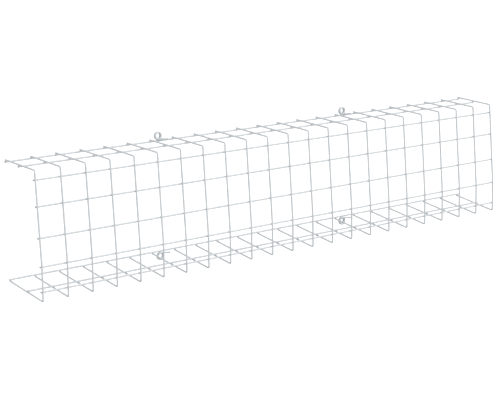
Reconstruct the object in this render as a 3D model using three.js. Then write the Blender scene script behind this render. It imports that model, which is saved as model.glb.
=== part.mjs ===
// Cable tray made of welded steel wire: a channel of C-shaped ribs on straight long wires, with four
// wire eyes on its two free edges that take the fixing screws.
//
// Frame, in millimetres: X runs along the tray, Z is up, and the channel is open towards +Y.
// The plane Y = 0 is the screw plane, the surface that the eyes lie flat against. The origin is in
// that plane, half way along the ribs and half way between the upper and the lower eyes.

import * as THREE from "three";

// ---- Wire ----
const WIRE_DIAMETER = 3.2; // 3 mm steel and its powder coat
const CROSSING_GAP = 0.15; // free space left between two wires that are welded where they cross
const LONG_WIRE_SIDES = 12;
const BENT_WIRE_SIDES = 8;

// ---- Mesh along the tray ----
const RIB_COUNT = 23;
const RIB_PITCH = 50;
const FIRST_END_STUB = 2.5; // the long wires run on a little past the first rib
const LAST_END_STUB = WIRE_DIAMETER / 2; // and are cut flush with the last one

// ---- Rib section, measured on the wire's centre line ----
const TOP_FLANGE_DEPTH = 86; // corner to edge wire
const BOTTOM_FLANGE_DEPTH = 98; // the deeper of the two, so the front face leans back
const EDGE_WIRE_INSET = 2.5; // edge wire to screw plane
const RIB_END_INSET = 0.5; // rib end to screw plane
const FRONT_HEIGHT = 218; // lower corner to upper corner
const KNEE_HEIGHT = 58; // the front face is bent slightly along this line above the lower corner
const KNEE_BULGE = 3; // how far that line stands in front of the straight line between the corners
const TOP_FLANGE_RISE = THREE.MathUtils.degToRad(4.25);
const BOTTOM_FLANGE_RISE = THREE.MathUtils.degToRad(10);
const CORNER_RADIUS = 3;
const KNEE_RADIUS = 60;
const CORNER_STEPS = 4;
const KNEE_STEPS = 2;

// ---- Long wires: depth behind the flange's corner, or height above the lower corner ----
const TOP_MIDDLE_WIRE_DEPTH = 46;
const BOTTOM_MIDDLE_WIRE_DEPTH = 43;
const FRONT_WIRE_HEIGHTS = [201.5, 157.5, 105.5, KNEE_HEIGHT, 15.5];

// ---- Screw eyes ----
const EYE_RADIUS = 6.1; // centre line of the turns, for a 9 mm hole
const EYE_FROM_RIB = 16; // an eye's centre, to the right of the rib beside it
const LEFT_EYE_RIB = 7;
const RIGHT_EYE_RIB = 16;
const EYE_STEPS_PER_TURN = 16;
const EYE_FLAT_STEPS = 13; // steps of the rear turn that lie flat in the screw plane
const EYE_STEP_OVER_STEPS = 3; // steps in which the wire crosses from the rear turn to the front one
const FOOT_LENGTH = 15;
const FOOT_YAW = THREE.MathUtils.degToRad(28); // the foot turns forwards over the edge wire
const FOOT_BEND_RADIUS = 6;
const FOOT_BEND_STEPS = 3;

// ---- Worked out from the above ----
const CROSSING = WIRE_DIAMETER + CROSSING_GAP; // between the centre lines of two crossing wires
const LAST_RIB_X = ((RIB_COUNT - 1) * RIB_PITCH) / 2;

// ---- Finish ----
const COATING = { color: 0xdfe3e6, roughness: 0.42, metalness: 0.0 };

// The radius of a regular polygon's corners when its area is that of the round wire.
function sectionRadius(sides) {
  const area = Math.PI * (WIRE_DIAMETER / 2) ** 2;
  return Math.sqrt((2 * area) / (sides * Math.sin((2 * Math.PI) / sides)));
}

// The wire's cross section, with a flat side towards each axis.
function wireSection(sides) {
  const radius = sectionRadius(sides);
  const corners = [];
  for (let i = 0; i < sides; i += 1) {
    const angle = ((i + 0.5) / sides) * 2 * Math.PI;
    corners.push(new THREE.Vector2(radius * Math.cos(angle), radius * Math.sin(angle)));
  }
  return new THREE.Shape(corners);
}

// A path through stations, each a point and the wire's direction there. Stations are close together
// in a bend and far apart on a straight length, so a straight length takes a single step.
class WirePath extends THREE.Curve {
  constructor(stations) {
    super();
    this.stations = stations;
  }

  stationAt(u) {
    return this.stations[Math.round(u * (this.stations.length - 1))];
  }

  getPointAt(u) {
    return this.stationAt(u).point.clone();
  }

  getTangentAt(u) {
    return this.stationAt(u).direction.clone();
  }
}

// A station of a WirePath.
function station(point, direction) {
  return { point: point.clone(), direction: direction.clone().normalize() };
}

// Stations of an arc that starts at a point in a direction and turns about an axis.
function arcStations(start, direction, axis, radius, angle, steps) {
  const toCentre = new THREE.Vector3().crossVectors(axis, direction).setLength(radius);
  const centre = start.clone().add(toCentre);
  const stations = [];
  for (let i = 0; i <= steps; i += 1) {
    const turn = (angle * i) / steps;
    const arm = toCentre.clone().negate().applyAxisAngle(axis, turn);
    stations.push(station(centre.clone().add(arm), direction.clone().applyAxisAngle(axis, turn)));
  }
  return stations;
}

// Stations of a wire that is bent at each inner corner: { point, radius, steps }.
function bentWireStations(first, bends, last) {
  const stops = [first, ...bends.map((bend) => bend.point), last];
  const stations = [station(first, stops[1].clone().sub(first))];
  bends.forEach((bend, i) => {
    const into = bend.point.clone().sub(stops[i]).normalize();
    const outOf = stops[i + 2].clone().sub(bend.point).normalize();
    const angle = into.angleTo(outOf);
    const axis = new THREE.Vector3().crossVectors(into, outOf).normalize();
    const setback = bend.radius * Math.tan(angle / 2);
    const start = bend.point.clone().addScaledVector(into, -setback);
    stations.push(...arcStations(start, into, axis, bend.radius, angle, bend.steps));
  });
  stations.push(station(last, last.clone().sub(stops[stops.length - 2])));
  return stations;
}

// A solid wire along stations.
function wireGeometry(stations, sides) {
  return new THREE.ExtrudeGeometry(wireSection(sides), {
    steps: stations.length - 1,
    extrudePath: new WirePath(stations),
    curveSegments: 1,
  });
}

function wireMesh(name, stations, sides) {
  const mesh = new THREE.Mesh(wireGeometry(stations, sides), new THREE.MeshStandardMaterial(COATING));
  mesh.name = name;
  return mesh;
}

// ---- The rib section, as points (0, Y, Z) with Z counted from the lower corner ----

const lowerCorner = new THREE.Vector3(0, -EDGE_WIRE_INSET - BOTTOM_FLANGE_DEPTH, 0);
const upperCorner = new THREE.Vector3(0, -EDGE_WIRE_INSET - TOP_FLANGE_DEPTH, FRONT_HEIGHT);
const knee = lowerCorner.clone().lerp(upperCorner, KNEE_HEIGHT / FRONT_HEIGHT);
knee.y -= KNEE_BULGE;

// A point on a flange's centre line, a distance behind its corner.
function flangePoint(corner, rise, depth) {
  return corner.clone().add(new THREE.Vector3(0, depth, depth * Math.tan(rise)));
}

// A point on the front face's centre line, at a height above the lower corner.
function frontPoint(height) {
  const ends = height < KNEE_HEIGHT ? [lowerCorner, knee] : [knee, upperCorner];
  const along = (height - ends[0].z) / (ends[1].z - ends[0].z);
  return ends[0].clone().lerp(ends[1], along);
}

// The centre of a long wire laid on the inner side of the rib at a point, where the rib runs from
// one end of a straight stretch to the other, top to bottom.
function insideOf(point, stretchStart, stretchEnd) {
  const along = stretchEnd.clone().sub(stretchStart).normalize();
  const inwards = new THREE.Vector3(1, 0, 0).cross(along);
  return point.clone().addScaledVector(inwards, CROSSING);
}

const pastEdgeWire = EDGE_WIRE_INSET - RIB_END_INSET;
const topEnd = flangePoint(upperCorner, TOP_FLANGE_RISE, TOP_FLANGE_DEPTH + pastEdgeWire);
const bottomEnd = flangePoint(lowerCorner, BOTTOM_FLANGE_RISE, BOTTOM_FLANGE_DEPTH + pastEdgeWire);

function topWire(depth) {
  return insideOf(flangePoint(upperCorner, TOP_FLANGE_RISE, depth), topEnd, upperCorner);
}

function bottomWire(depth) {
  return insideOf(flangePoint(lowerCorner, BOTTOM_FLANGE_RISE, depth), lowerCorner, bottomEnd);
}

function frontWire(height) {
  if (height < KNEE_HEIGHT) return insideOf(frontPoint(height), knee, lowerCorner);
  return insideOf(frontPoint(height), upperCorner, knee);
}

const longWireCentres = {
  top_edge_wire: topWire(TOP_FLANGE_DEPTH),
  top_middle_wire: topWire(TOP_MIDDLE_WIRE_DEPTH),
  bottom_middle_wire: bottomWire(BOTTOM_MIDDLE_WIRE_DEPTH),
  bottom_edge_wire: bottomWire(BOTTOM_FLANGE_DEPTH),
};
FRONT_WIRE_HEIGHTS.forEach((height, i) => {
  longWireCentres[`front_wire_${i + 1}`] = frontWire(height);
});

// Half way between the upper and the lower edge wire, and so between the eyes: this is Z = 0.
const midHeight = (longWireCentres.top_edge_wire.z + longWireCentres.bottom_edge_wire.z) / 2;

// ---- Pieces ----

function ribX(number) {
  return (number - 1) * RIB_PITCH - LAST_RIB_X;
}

// One rib: top flange, corner, front face with its knee, corner, bottom flange.
function makeRib(number) {
  const bends = [
    { point: upperCorner, radius: CORNER_RADIUS, steps: CORNER_STEPS },
    { point: knee, radius: KNEE_RADIUS, steps: KNEE_STEPS },
    { point: lowerCorner, radius: CORNER_RADIUS, steps: CORNER_STEPS },
  ];
  const stations = bentWireStations(topEnd, bends, bottomEnd);
  const rib = wireMesh(`rib_${String(number).padStart(2, "0")}`, stations, BENT_WIRE_SIDES);
  rib.position.set(ribX(number), 0, -midHeight);
  return rib;
}

// One straight wire along the tray.
function makeLongWire(name, centre) {
  const along = new THREE.Vector3(1, 0, 0);
  const start = new THREE.Vector3(-LAST_RIB_X - FIRST_END_STUB, centre.y, centre.z);
  const end = new THREE.Vector3(LAST_RIB_X + LAST_END_STUB, centre.y, centre.z);
  const wire = wireMesh(name, [station(start, along), station(end, along)], LONG_WIRE_SIDES);
  wire.position.z = -midHeight;
  return wire;
}

// One eye, drawn with its centre at X = 0 and Z = 0. The wire makes two turns side by side: the rear
// one lies flat in the screw plane, the front one ends in a foot that runs over the edge wire.
// side is 1 for an eye that stands above its edge wire and -1 for one that hangs below it.
function eyeStations(side) {
  const rearY = -sectionRadius(BENT_WIRE_SIDES) * Math.cos(Math.PI / BENT_WIRE_SIDES);
  const frontY = rearY - CROSSING;
  const stepAngle = (2 * Math.PI) / EYE_STEPS_PER_TURN;
  const stepsInAll = 2 * EYE_STEPS_PER_TURN - 1;
  const stations = [];
  for (let i = 0; i < stepsInAll; i += 1) {
    const angle = (i + 1) * stepAngle; // from the wire's point nearest the edge wire
    const over = THREE.MathUtils.clamp((i - EYE_FLAT_STEPS) / EYE_STEP_OVER_STEPS, 0, 1);
    const y = THREE.MathUtils.lerp(rearY, frontY, over);
    const crossing = i > EYE_FLAT_STEPS && over < 1;
    const slope = crossing ? (frontY - rearY) / (EYE_STEP_OVER_STEPS * stepAngle * EYE_RADIUS) : 0;
    const point = new THREE.Vector3(EYE_RADIUS * Math.sin(angle), y, -side * EYE_RADIUS * Math.cos(angle));
    const direction = new THREE.Vector3(Math.cos(angle), slope, side * Math.sin(angle));
    stations.push(station(point, direction));
  }
  const footStart = new THREE.Vector3(0, frontY, -side * EYE_RADIUS);
  const down = new THREE.Vector3(0, 0, -1);
  const outwards = new THREE.Vector3(1, 0, 0);
  const bend = arcStations(footStart, outwards, down, FOOT_BEND_RADIUS, FOOT_YAW, FOOT_BEND_STEPS);
  const { point, direction } = bend[bend.length - 1];
  return [...stations, ...bend, station(point.clone().addScaledVector(direction, FOOT_LENGTH), direction)];
}

function makeEye(name, ribNumber, edgeWireName, side) {
  const eye = wireMesh(name, eyeStations(side), BENT_WIRE_SIDES);
  const edge = longWireCentres[edgeWireName];
  eye.position.set(ribX(ribNumber) + EYE_FROM_RIB, 0, edge.z + side * (CROSSING + EYE_RADIUS) - midHeight);
  return eye;
}

// ---- Assembly ----

const tray = new THREE.Group();
tray.name = "cable_tray";

for (let number = 1; number <= RIB_COUNT; number += 1) tray.add(makeRib(number));
for (const [name, centre] of Object.entries(longWireCentres)) tray.add(makeLongWire(name, centre));

tray.add(makeEye("screw_eye_top_left", LEFT_EYE_RIB, "top_edge_wire", 1));
tray.add(makeEye("screw_eye_top_right", RIGHT_EYE_RIB, "top_edge_wire", 1));
tray.add(makeEye("screw_eye_bottom_left", LEFT_EYE_RIB, "bottom_edge_wire", -1));
tray.add(makeEye("screw_eye_bottom_right", RIGHT_EYE_RIB, "bottom_edge_wire", -1));

export default tray;
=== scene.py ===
"""Looks of the welded wire cable tray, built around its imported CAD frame.

Every wire of the CAD frame is replaced by a finely round one on the same centre line, with the weld
fillets where wires cross, sheared ends and a satin powder coat. Metres; X runs along the tray, Z is
up, and the tray is open towards +Y.
"""

import math

import bpy
import numpy as np
from mathutils import Matrix, Vector


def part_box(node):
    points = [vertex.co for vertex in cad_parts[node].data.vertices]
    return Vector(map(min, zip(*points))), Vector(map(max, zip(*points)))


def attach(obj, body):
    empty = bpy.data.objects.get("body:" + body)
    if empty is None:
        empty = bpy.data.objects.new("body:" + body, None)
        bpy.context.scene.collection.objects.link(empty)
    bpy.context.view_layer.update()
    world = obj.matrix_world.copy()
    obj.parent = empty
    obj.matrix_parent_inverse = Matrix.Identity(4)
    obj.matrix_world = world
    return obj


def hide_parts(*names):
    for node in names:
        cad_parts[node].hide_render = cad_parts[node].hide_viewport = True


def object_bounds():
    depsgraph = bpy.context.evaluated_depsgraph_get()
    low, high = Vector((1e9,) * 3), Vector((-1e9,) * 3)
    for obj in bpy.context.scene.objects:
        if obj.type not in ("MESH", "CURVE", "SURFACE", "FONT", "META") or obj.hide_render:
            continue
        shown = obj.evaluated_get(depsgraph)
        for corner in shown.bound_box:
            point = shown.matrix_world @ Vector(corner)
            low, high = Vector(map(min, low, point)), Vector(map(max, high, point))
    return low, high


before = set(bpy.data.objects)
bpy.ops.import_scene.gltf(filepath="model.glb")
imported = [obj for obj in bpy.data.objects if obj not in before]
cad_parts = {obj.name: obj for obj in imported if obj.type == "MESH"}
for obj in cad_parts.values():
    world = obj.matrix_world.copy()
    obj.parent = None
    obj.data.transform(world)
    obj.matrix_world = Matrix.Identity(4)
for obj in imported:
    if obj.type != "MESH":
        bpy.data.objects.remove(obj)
cad_low, cad_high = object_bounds()

MM = 0.001

# ---- Wire ----
WIRE_RADIUS = 1.6 * MM
CROSSING = 3.35 * MM  # between the centre lines of two crossing wires
SIDES = 24

# ---- Rib section, measured on the wire's centre line ----
TOP_FLANGE_DEPTH = 86 * MM  # corner to edge wire
BOTTOM_FLANGE_DEPTH = 98 * MM
RIB_END_INSET = 0.5 * MM  # rib end to screw plane
KNEE_HEIGHT = 58 * MM  # the front face is bent slightly along this line above the lower corner
KNEE_BULGE = 3 * MM
TOP_FLANGE_RISE = math.radians(4.25)
BOTTOM_FLANGE_RISE = math.radians(10)
CORNER_RADIUS = 3 * MM
KNEE_RADIUS = 60 * MM

# ---- Screw eyes ----
EYE_RADIUS = 6.1 * MM  # centre line of the turns
EYE_START = math.radians(22.5)  # from the point of the turn nearest the edge wire
EYE_STEP_OVER = (math.radians(315), math.radians(382.5))  # where the wire crosses to the front turn
FOOT_LENGTH = 15 * MM
FOOT_YAW = math.radians(28)
FOOT_BEND_RADIUS = 6 * MM

# ---- Welds and coating ----
WELD_SOFTNESS = 1.3 * MM  # how widely a weld and the coat over it round off the inner angle
TURN_SOFTNESS = 0.5 * MM  # the same for the coat between the two turns of an eye
MOST_SWELL = 0.45 * MM
END_ROUNDING = 0.4 * MM
END_RING_ANGLES = [90, 60, 35, 15, 0]  # degrees round the rim of a cut end, where its rings stand
SHEAR_SLANT = 0.25 * MM  # a cut end is this much shorter on one side
FLAT_SHARE = 0.9  # how much of a cut face is flat, as a share of its radius

# ---- Spacing of the rings of points that make up a wire ----
BEND_STEP = 0.5 * MM
WELD_STEP = 0.33 * MM
WELD_REACH = 3.0 * MM  # either side of a weld
EYE_REACH = 15 * MM  # either side of the middle of an eye and its foot
LEAST_STEP = 0.12 * MM
HALVINGS = 9
STRETCHES_KEPT = 10  # nearest stretches of other wires that can shape a ring

ALONG = np.array([1.0, 0.0, 0.0])  # the tray's length
FORWARDS = np.array([0.0, -1.0, 0.0])  # away from the screw plane
FIRST_NORMAL = [0, 1, 0]  # towards the first point of each ring, on long wires and eyes
FAR_AWAY = 1.0  # further than any wire that could shape another

# ---- Powder coat: colours of the film by its thickness, then its bump ----
THIN_FILM = (0.65, 0.69, 0.72)
USUAL_FILM = (0.705, 0.74, 0.765)
THICK_FILM = (0.755, 0.785, 0.805)
WELD_COLOUR = (0.69, 0.725, 0.75)
# Cut end faces are drawn in this darker grey.
CUT_COLOUR = (0.34, 0.35, 0.355)
FILM_SCALE = 70  # cells per metre of each pattern
GLOSS_SCALE = 240
PEEL_SCALE = 1100
SMOOTHEST = 0.36
ROUGHEST = 0.46
PEEL_STRENGTH = 0.35
PEEL_DEPTH = 0.06 * MM

# ---- Studio ----
WHITE = (1, 1, 1, 1)
FLOOR_COLOUR = (0.92, 0.92, 0.92, 1)
FLOOR_GLOW = 0.35
FLOOR_HALF_WIDTH = 60
FLOOR_DROP = 0.45  # below the lowest point of the tray
DOME_BELOW = 0.48  # brightness of the dome straight below and straight above
DOME_ABOVE = 0.94
KEY_STRENGTH = 0.95
KEY_SOFTNESS = math.radians(50)
KEY_DIRECTION = Vector((-0.5, 0.8, -0.5))

# ---- Camera ----
VIEW_AZIMUTH = math.radians(-40.28)  # 0 looks along +Y
VIEW_ELEVATION = math.radians(11.1)
VIEW_ROLL = math.radians(-0.65)  # the right side of the picture dips
VIEW_DISTANCE = 3.1016
AXIS_LEFT_OF_CENTRE = 0.0461  # the middle of the picture, from the tray's centre
AXIS_BELOW_CENTRE = 0.0291
FIELD_OF_VIEW = math.radians(17.03)  # over the picture's width
SENSOR_WIDTH = 36  # in millimetres, as the camera counts it
NEAREST_SEEN = 0.1
FURTHEST_SEEN = 200

LONG_WIRES = ["top_edge_wire", "top_middle_wire"]
LONG_WIRES += [f"front_wire_{number}" for number in range(1, 6)]
LONG_WIRES += ["bottom_middle_wire", "bottom_edge_wire"]
RIBS = sorted(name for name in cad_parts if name.startswith("rib_"))
EYES = sorted(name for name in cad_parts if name.startswith("screw_eye_"))


def unit(vectors):
    return vectors / np.linalg.norm(vectors, axis=-1, keepdims=True)


def middle_of(node):
    low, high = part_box(node)
    return np.array((low + high) / 2)


# ---- Centre lines ----


class Route:
    """A wire's centre line as a chain of points, read by the distance along it."""

    def __init__(self, points):
        self.points = np.array(points)
        steps = np.linalg.norm(np.diff(self.points, axis=0), axis=1)
        self.distances = np.concatenate([[0.0], np.cumsum(steps)])
        self.length = self.distances[-1]

    def at(self, distances):
        columns = [np.interp(distances, self.distances, self.points[:, k]) for k in range(3)]
        return np.stack(columns, axis=-1)

    def direction(self, distances):
        reach = LEAST_STEP / 2
        return unit(self.at(distances + reach) - self.at(distances - reach))

    def nearest(self, place):
        """The distance along the route of the point nearest to a place."""
        shares, gaps = past_stretches(place, self.points[:-1], self.points[1:])
        i = np.argmin(gaps)
        return self.distances[i] + shares[i] * (self.distances[i + 1] - self.distances[i])

    def stretches(self):
        """The straight stretches between the points, each as its start and its end."""
        return list(zip(self.points, self.points[1:]))


def past_stretches(places, starts, ends):
    """Where each stretch passes nearest to a place: how far along it, from 0 to 1, and the gap."""
    along = ends - starts
    shares = np.clip(((places - starts) * along).sum(-1) / (along * along).sum(-1), 0, 1)
    gaps = np.linalg.norm(places - starts - along * shares[..., None], axis=-1)
    return shares, gaps


def arc(start, direction, inward, radius, angle):
    """Points of an arc that leaves a point in a direction and turns inwards."""
    centre = start + inward * radius
    turns = np.linspace(0, angle, max(3, math.ceil(radius * angle / BEND_STEP) + 1))
    return [centre + radius * (direction * math.sin(t) - inward * math.cos(t)) for t in turns]


def bent_line(stops, radii):
    """Straight lines between stops, rounded to a radius at each inner one."""
    points = [stops[0]]
    for before, corner, after, radius in zip(stops, stops[1:], stops[2:], radii):
        into = unit(corner - before)
        out_of = unit(after - corner)
        angle = math.acos(into @ out_of)
        inward = unit(out_of - into * (into @ out_of))
        start = corner - into * radius * math.tan(angle / 2)
        points += arc(start, into, inward, radius, angle)
    return points + [stops[-1]]


def flange(x, edge_wire, depth, rise, side):
    """A flange's corner and its free end, from the edge wire that lies on its inner side."""
    edge = middle_of(edge_wire)
    slope = math.tan(rise)
    corner_y = edge[1] - side * CROSSING * math.sin(rise) - depth
    corner_z = edge[2] + side * CROSSING * math.cos(rise) - depth * slope
    to_end = -RIB_END_INSET - corner_y
    corner = np.array([x, corner_y, corner_z])
    return corner, corner + np.array([0, to_end, to_end * slope])


def rib_route(x):
    """Top flange, corner, front face with its knee, corner, bottom flange."""
    upper, top_end = flange(x, "top_edge_wire", TOP_FLANGE_DEPTH, TOP_FLANGE_RISE, 1)
    lower, bottom_end = flange(x, "bottom_edge_wire", BOTTOM_FLANGE_DEPTH, BOTTOM_FLANGE_RISE, -1)
    knee = lower + (upper - lower) * KNEE_HEIGHT / (upper[2] - lower[2])
    knee[1] -= KNEE_BULGE
    radii = [CORNER_RADIUS, KNEE_RADIUS, CORNER_RADIUS]
    return Route(bent_line([top_end, upper, knee, lower, bottom_end], radii))


def long_wire_route(node):
    low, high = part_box(node)
    middle = middle_of(node)
    return Route([[low.x, middle[1], middle[2]], [high.x, middle[1], middle[2]]])


def eye_route(node):
    """Two turns side by side, the rear one against the screw plane, and a foot over the edge wire."""
    side = 1 if "top" in node else -1
    edge = middle_of(edge_wire_of(node))
    low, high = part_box(node)
    centre_x = low.x + WIRE_RADIUS + EYE_RADIUS
    centre_z = edge[2] + side * (CROSSING + EYE_RADIUS)
    rear_y = high.y - WIRE_RADIUS
    front_y = rear_y - CROSSING
    steps = math.ceil((4 * math.pi - EYE_START) * EYE_RADIUS / BEND_STEP)
    points = []
    for turn in np.linspace(EYE_START, 4 * math.pi, steps + 1):
        over = np.clip((turn - EYE_STEP_OVER[0]) / (EYE_STEP_OVER[1] - EYE_STEP_OVER[0]), 0, 1)
        over = over * over * (3 - 2 * over)
        x = centre_x + EYE_RADIUS * math.sin(turn)
        z = centre_z - side * EYE_RADIUS * math.cos(turn)
        points.append(np.array([x, rear_y + (front_y - rear_y) * over, z]))
    points += arc(points[-1], ALONG, FORWARDS, FOOT_BEND_RADIUS, FOOT_YAW)[1:]
    foot = ALONG * math.cos(FOOT_YAW) + FORWARDS * math.sin(FOOT_YAW)
    return Route(points + [points[-1] + foot * FOOT_LENGTH])


# ---- Wires as meshes ----


class Neighbours:
    """Straight stretches of wire that a wire is welded to or lies against.

    A stretch of the same wire carries its distance along it, so that a place on the wire does not
    take its own surroundings for a neighbour.
    """

    def __init__(self):
        self.starts = []
        self.ends = []
        self.softness = []
        self.own_distances = []

    def add(self, stretch, softness, own_distance=-FAR_AWAY):
        self.starts.append(stretch[0])
        self.ends.append(stretch[1])
        self.softness.append(softness)
        self.own_distances.append(own_distance)


def blended(own, other, softness):
    """The smooth minimum of two distances: its zero surface is both wires with a fillet between."""
    share = np.clip(softness - np.abs(own - other), 0, None) / softness
    return np.minimum(own, other) - share * share * softness / 4


def swollen_radii(centres, outward, distances, neighbours):
    """How far the surface stands off the centre line in each outward direction."""
    starts = np.array(neighbours.starts)
    ends = np.array(neighbours.ends)
    softness = np.array(neighbours.softness)
    own_distances = np.array(neighbours.own_distances)

    gaps = past_stretches(centres[:, None], starts, ends)[1]
    too_near = np.abs(distances[:, None] - own_distances) < math.pi * EYE_RADIUS
    gaps[too_near] = FAR_AWAY
    kept = np.argsort(gaps, axis=1)[:, :STRETCHES_KEPT]
    penalty = np.take_along_axis(np.where(too_near, FAR_AWAY, 0), kept, axis=1)[:, None]
    starts, ends, softness = starts[kept][:, None], ends[kept][:, None], softness[kept][:, None]

    low = np.full(outward.shape[:2], WIRE_RADIUS)
    high = low + MOST_SWELL
    for _ in range(HALVINGS):
        radii = (low + high) / 2
        places = centres[:, None] + outward * radii[..., None]
        others = past_stretches(places[:, :, None], starts, ends)[1] - WIRE_RADIUS + penalty
        within = blended((radii - WIRE_RADIUS)[..., None], others, softness).min(-1) < 0
        low = np.where(within, radii, low)
        high = np.where(within, high, radii)
    return low


def ring_distances(route, welds):
    """Where along the wire the rings of points stand: close together at bends, welds and ends."""
    around = np.arange(-WELD_REACH, WELD_REACH + WELD_STEP / 2, WELD_STEP)
    near_welds = [weld + around for weld in welds]
    rounding = END_ROUNDING * (1 - np.sin(np.radians(END_RING_ANGLES)))
    ends = np.concatenate([rounding, route.length - rounding])
    wanted = np.sort(np.concatenate([route.distances, *near_welds]))
    inner = (wanted > END_ROUNDING + LEAST_STEP) & (wanted < route.length - END_ROUNDING - LEAST_STEP)
    kept = []
    for distance in wanted[inner]:
        if not kept or distance - kept[-1] > LEAST_STEP:
            kept.append(distance)
    return np.sort(np.concatenate([ends, kept]))


def carried_normals(directions, first):
    """One normal per ring, carried along the wire without twisting."""
    normals = []
    normal = np.array(first)
    for direction in directions:
        normal = unit(normal - direction * (normal @ direction))
        normals.append(normal)
    return np.array(normals)


def ring_faces(ring_count):
    """Quads between neighbouring rings, and a fan of triangles over each end's centre point."""
    faces = []
    for ring in range(ring_count - 1):
        for side in range(SIDES):
            a = ring * SIDES + side
            b = ring * SIDES + (side + 1) % SIDES
            faces.append((a, b, b + SIDES, a + SIDES))
    first_centre = ring_count * SIDES
    last = (ring_count - 1) * SIDES
    for side in range(SIDES):
        after = (side + 1) % SIDES
        faces.append((after, side, first_centre))
        faces.append((last + side, last + after, first_centre + 1))
    return faces


def wire_shape(route, welds, neighbours, first_normal):
    """Vertices, faces, and how much of a cut face and how much of a weld each vertex is."""
    distances = ring_distances(route, welds)
    centres = route.at(distances)
    directions = route.direction(distances)
    normals = carried_normals(directions, first_normal)
    binormals = np.cross(directions, normals)
    turns = np.arange(SIDES) * 2 * math.pi / SIDES
    outward = (
        normals[:, None] * np.cos(turns)[None, :, None]
        + binormals[:, None] * np.sin(turns)[None, :, None]
    )
    radii = swollen_radii(centres, outward, distances, neighbours)
    weld = (radii - WIRE_RADIUS) / MOST_SWELL

    to_end = np.minimum(distances, route.length - distances)
    rounded = np.clip(1 - to_end / END_ROUNDING, 0, 1)
    radii = radii - END_ROUNDING * (1 - np.sqrt(1 - rounded * rounded))[:, None]
    inwards = np.where(distances < route.length / 2, 1, -1)[:, None, None] * directions[:, None]
    slant = np.clip(1 - to_end / WIRE_RADIUS, 0, 1)[:, None] * SHEAR_SLANT * (1 + np.cos(turns)) / 2
    vertices = centres[:, None] + outward * radii[..., None] + inwards * slant[..., None]
    cut = np.repeat(rounded[:, None], SIDES, axis=1)

    # An inner ring keeps each cut face flat up to its rounded rim.
    rims = vertices[[0, -1]]
    face_centres = rims.mean(axis=1, keepdims=True)
    inner = face_centres + (rims - face_centres) * FLAT_SHARE
    vertices = np.concatenate([inner[:1], vertices, inner[1:]])
    cut = np.concatenate([np.ones((1, SIDES)), cut, np.ones((1, SIDES))])
    weld = np.concatenate([weld[:1], weld, weld[-1:]])

    flat_vertices = np.concatenate([vertices.reshape(-1, 3), face_centres[:, 0]])
    faces = ring_faces(len(vertices))
    return flat_vertices, faces, np.append(cut.ravel(), [1, 1]), np.append(weld.ravel(), [0, 0])


def add_wire(node, shape, material):
    """Makes the piece that stands for a CAD wire."""
    vertices, faces, cut, weld = shape
    mesh = bpy.data.meshes.new(f"{node}_coated")
    mesh.from_pydata(vertices.tolist(), [], faces)
    mesh.shade_smooth()
    for name, values in (("cut_face", cut), ("weld_fillet", weld)):
        mesh.attributes.new(name, "FLOAT", "POINT").data.foreach_set("value", values.astype(np.float32))
    mesh.materials.append(material)
    piece = bpy.data.objects.new(f"{node}_coated", mesh)
    bpy.context.scene.collection.objects.link(piece)
    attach(piece, "root")
    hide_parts(node)


# ---- The welded mesh ----


def edge_wire_of(eye_node):
    return "top_edge_wire" if "top" in eye_node else "bottom_edge_wire"


def build_ribs(rib_xs, long_routes, material):
    """All ribs have one shape, which is worked out once at X = 0 and moved along the tray."""
    rib = rib_route(0)
    neighbours = Neighbours()
    for route in long_routes.values():
        neighbours.add(route.points, WELD_SOFTNESS)
    welds = [rib.nearest(route.points[0] * (1 - ALONG)) for route in long_routes.values()]
    vertices, faces, cut, weld = wire_shape(rib, welds, neighbours, ALONG)
    for node, x in rib_xs.items():
        add_wire(node, (vertices + ALONG * x, faces, cut, weld), material)


def build_long_wires(rib_xs, long_routes, eye_routes, material):
    rib_stretches = rib_route(0).stretches()
    for node, route in long_routes.items():
        neighbours = Neighbours()
        for x in rib_xs.values():
            for start, end in rib_stretches:
                neighbours.add((start + ALONG * x, end + ALONG * x), WELD_SOFTNESS)
        weld_xs = list(rib_xs.values())
        for eye_node, eye in eye_routes.items():
            if edge_wire_of(eye_node) == node:
                for stretch in eye.stretches():
                    neighbours.add(stretch, WELD_SOFTNESS)
                weld_xs += list(middle_of(eye_node)[0] + np.arange(-EYE_REACH, EYE_REACH, 2 * WELD_REACH))
        welds = np.array(weld_xs) - route.points[0][0]
        add_wire(node, wire_shape(route, welds, neighbours, FIRST_NORMAL), material)


def build_eyes(long_routes, eye_routes, material):
    for node, eye in eye_routes.items():
        neighbours = Neighbours()
        neighbours.add(long_routes[edge_wire_of(node)].points, WELD_SOFTNESS)
        middles = (eye.distances[:-1] + eye.distances[1:]) / 2
        for stretch, middle in zip(eye.stretches(), middles):
            neighbours.add(stretch, TURN_SOFTNESS, middle)
        welds = np.arange(eye.length - FOOT_LENGTH, eye.length, 2 * WELD_REACH)
        add_wire(node, wire_shape(eye, welds, neighbours, FIRST_NORMAL), material)


# ---- Material ----


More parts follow.
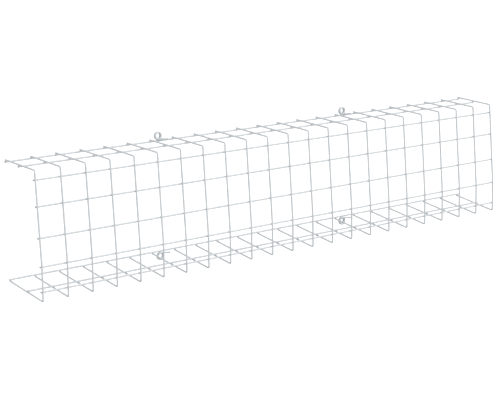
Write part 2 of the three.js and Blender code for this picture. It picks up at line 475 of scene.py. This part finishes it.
def powder_coat():
    """Satin powder coat: cool white, with a fine orange peel, and a darker grey over cut ends."""
    material = bpy.data.materials.new("powder_coat")
    material.use_nodes = True
    tree = material.node_tree
    shader = tree.nodes["Principled BSDF"]
    coordinates = tree.nodes.new("ShaderNodeTexCoord")

    def noise(scale, detail):
        node = tree.nodes.new("ShaderNodeTexNoise")
        node.inputs["Scale"].default_value = scale
        node.inputs["Detail"].default_value = detail
        tree.links.new(coordinates.outputs["Object"], node.inputs["Vector"])
        return node.outputs["Fac"]

    def ramp(factor, stops):
        node = tree.nodes.new("ShaderNodeValToRGB")
        while len(node.color_ramp.elements) < len(stops):
            node.color_ramp.elements.new(0.5)
        for element, (position, colour) in zip(node.color_ramp.elements, stops):
            element.position = position
            element.color = (*colour, 1)
        tree.links.new(factor, node.inputs["Fac"])
        return node.outputs["Color"]

    def mixed(factor, first, second):
        node = tree.nodes.new("ShaderNodeMix")
        node.data_type = "RGBA"
        tree.links.new(factor, node.inputs["Factor"])
        tree.links.new(first, node.inputs["A"])
        node.inputs["B"].default_value = (*second, 1)
        return node.outputs["Result"]

    def attribute(name):
        node = tree.nodes.new("ShaderNodeAttribute")
        node.attribute_name = name
        return node.outputs["Fac"]

    film = ramp(noise(FILM_SCALE, 3), [(0.3, THIN_FILM), (0.5, USUAL_FILM), (0.72, THICK_FILM)])
    over_weld = mixed(attribute("weld_fillet"), film, WELD_COLOUR)
    colour = mixed(attribute("cut_face"), over_weld, CUT_COLOUR)
    tree.links.new(colour, shader.inputs["Base Color"])

    roughness = ramp(noise(GLOSS_SCALE, 2), [(0.3, (SMOOTHEST,) * 3), (0.7, (ROUGHEST,) * 3)])
    tree.links.new(roughness, shader.inputs["Roughness"])

    peel = tree.nodes.new("ShaderNodeBump")
    peel.inputs["Strength"].default_value = PEEL_STRENGTH
    peel.inputs["Distance"].default_value = PEEL_DEPTH
    tree.links.new(noise(PEEL_SCALE, 2), peel.inputs["Height"])
    tree.links.new(peel.outputs["Normal"], shader.inputs["Normal"])
    return material


# ---- Studio ----


def matte_white():
    material = bpy.data.materials.new("white_sweep")
    material.use_nodes = True
    shader = material.node_tree.nodes["Principled BSDF"]
    shader.inputs["Base Color"].default_value = FLOOR_COLOUR
    shader.inputs["Roughness"].default_value = 0.9
    shader.inputs["Specular IOR Level"].default_value = 0
    shader.inputs["Emission Color"].default_value = WHITE
    shader.inputs["Emission Strength"].default_value = FLOOR_GLOW
    return material


def add_floor():
    """A wide white sweep well below the tray, which hangs on its screws. It glows a little, as a
    lit sweep does, and throws no light back up at the tray, so that the wires keep a dark side."""
    half = FLOOR_HALF_WIDTH
    level = cad_low.z - FLOOR_DROP
    corners = [(-half, -half, level), (half, -half, level), (half, half, level), (-half, half, level)]
    mesh = bpy.data.meshes.new("floor")
    mesh.from_pydata(corners, [], [(0, 1, 2, 3)])
    mesh.materials.append(matte_white())
    floor = bpy.data.objects.new("floor", mesh)
    bpy.context.scene.collection.objects.link(floor)
    floor.visible_diffuse = False
    floor.visible_glossy = False


def add_world():
    """A soft dome, brighter above than below. The camera sees it as plain white."""
    world = bpy.data.worlds.new("studio")
    bpy.context.scene.world = world
    world.use_nodes = True
    tree = world.node_tree
    dome = tree.nodes["Background"]
    coordinates = tree.nodes.new("ShaderNodeTexCoord")
    split = tree.nodes.new("ShaderNodeSeparateXYZ")
    tree.links.new(coordinates.outputs["Generated"], split.inputs["Vector"])
    shade = tree.nodes.new("ShaderNodeMapRange")
    shade.inputs["From Min"].default_value = -1
    shade.inputs["From Max"].default_value = 1
    shade.inputs["To Min"].default_value = DOME_BELOW
    shade.inputs["To Max"].default_value = DOME_ABOVE
    tree.links.new(split.outputs["Z"], shade.inputs["Value"])
    tree.links.new(shade.outputs["Result"], dome.inputs["Color"])
    white = tree.nodes.new("ShaderNodeBackground")
    white.inputs["Color"].default_value = WHITE
    seen = tree.nodes.new("ShaderNodeLightPath")
    mix = tree.nodes.new("ShaderNodeMixShader")
    tree.links.new(seen.outputs["Is Camera Ray"], mix.inputs["Fac"])
    tree.links.new(dome.outputs["Background"], mix.inputs[1])
    tree.links.new(white.outputs["Background"], mix.inputs[2])
    tree.links.new(mix.outputs["Shader"], tree.nodes["World Output"].inputs["Surface"])


def add_key_light():
    """One very soft light from in front of the tray, on the right and a little above."""
    light = bpy.data.lights.new("key", "SUN")
    light.energy = KEY_STRENGTH
    light.angle = KEY_SOFTNESS
    key = bpy.data.objects.new("key", light)
    key.rotation_mode = "QUATERNION"
    key.rotation_quaternion = KEY_DIRECTION.to_track_quat("-Z", "Y")
    bpy.context.scene.collection.objects.link(key)


# ---- Camera ----


def add_camera():
    data = bpy.data.cameras.new("camera")
    data.sensor_width = SENSOR_WIDTH
    data.lens = data.sensor_width / 2 / math.tan(FIELD_OF_VIEW / 2)
    data.clip_start = NEAREST_SEEN
    data.clip_end = FURTHEST_SEEN
    camera = bpy.data.objects.new("camera", data)
    level = math.cos(VIEW_ELEVATION)
    back = Vector((
        math.sin(VIEW_AZIMUTH) * level,
        -math.cos(VIEW_AZIMUTH) * level,
        math.sin(VIEW_ELEVATION),
    ))
    turn = Matrix.Rotation(VIEW_ROLL, 3, back) @ back.to_track_quat("Z", "Y").to_matrix()
    right, up = turn.col[0], turn.col[1]
    centre = (cad_low + cad_high) / 2
    aim = centre - right * AXIS_LEFT_OF_CENTRE - up * AXIS_BELOW_CENTRE
    camera.matrix_world = Matrix.Translation(aim + back * VIEW_DISTANCE) @ turn.to_4x4()
    bpy.context.scene.collection.objects.link(camera)
    bpy.context.scene.camera = camera


# ---- Assembly ----

add_camera()
add_world()
add_key_light()
add_floor()
bpy.context.scene.view_settings.view_transform = "Standard"

coat = powder_coat()
rib_xs = {node: middle_of(node)[0] for node in RIBS}
long_routes = {node: long_wire_route(node) for node in LONG_WIRES}
eye_routes = {node: eye_route(node) for node in EYES}
build_ribs(rib_xs, long_routes, coat)
build_long_wires(rib_xs, long_routes, eye_routes, coat)
build_eyes(long_routes, eye_routes, coat)
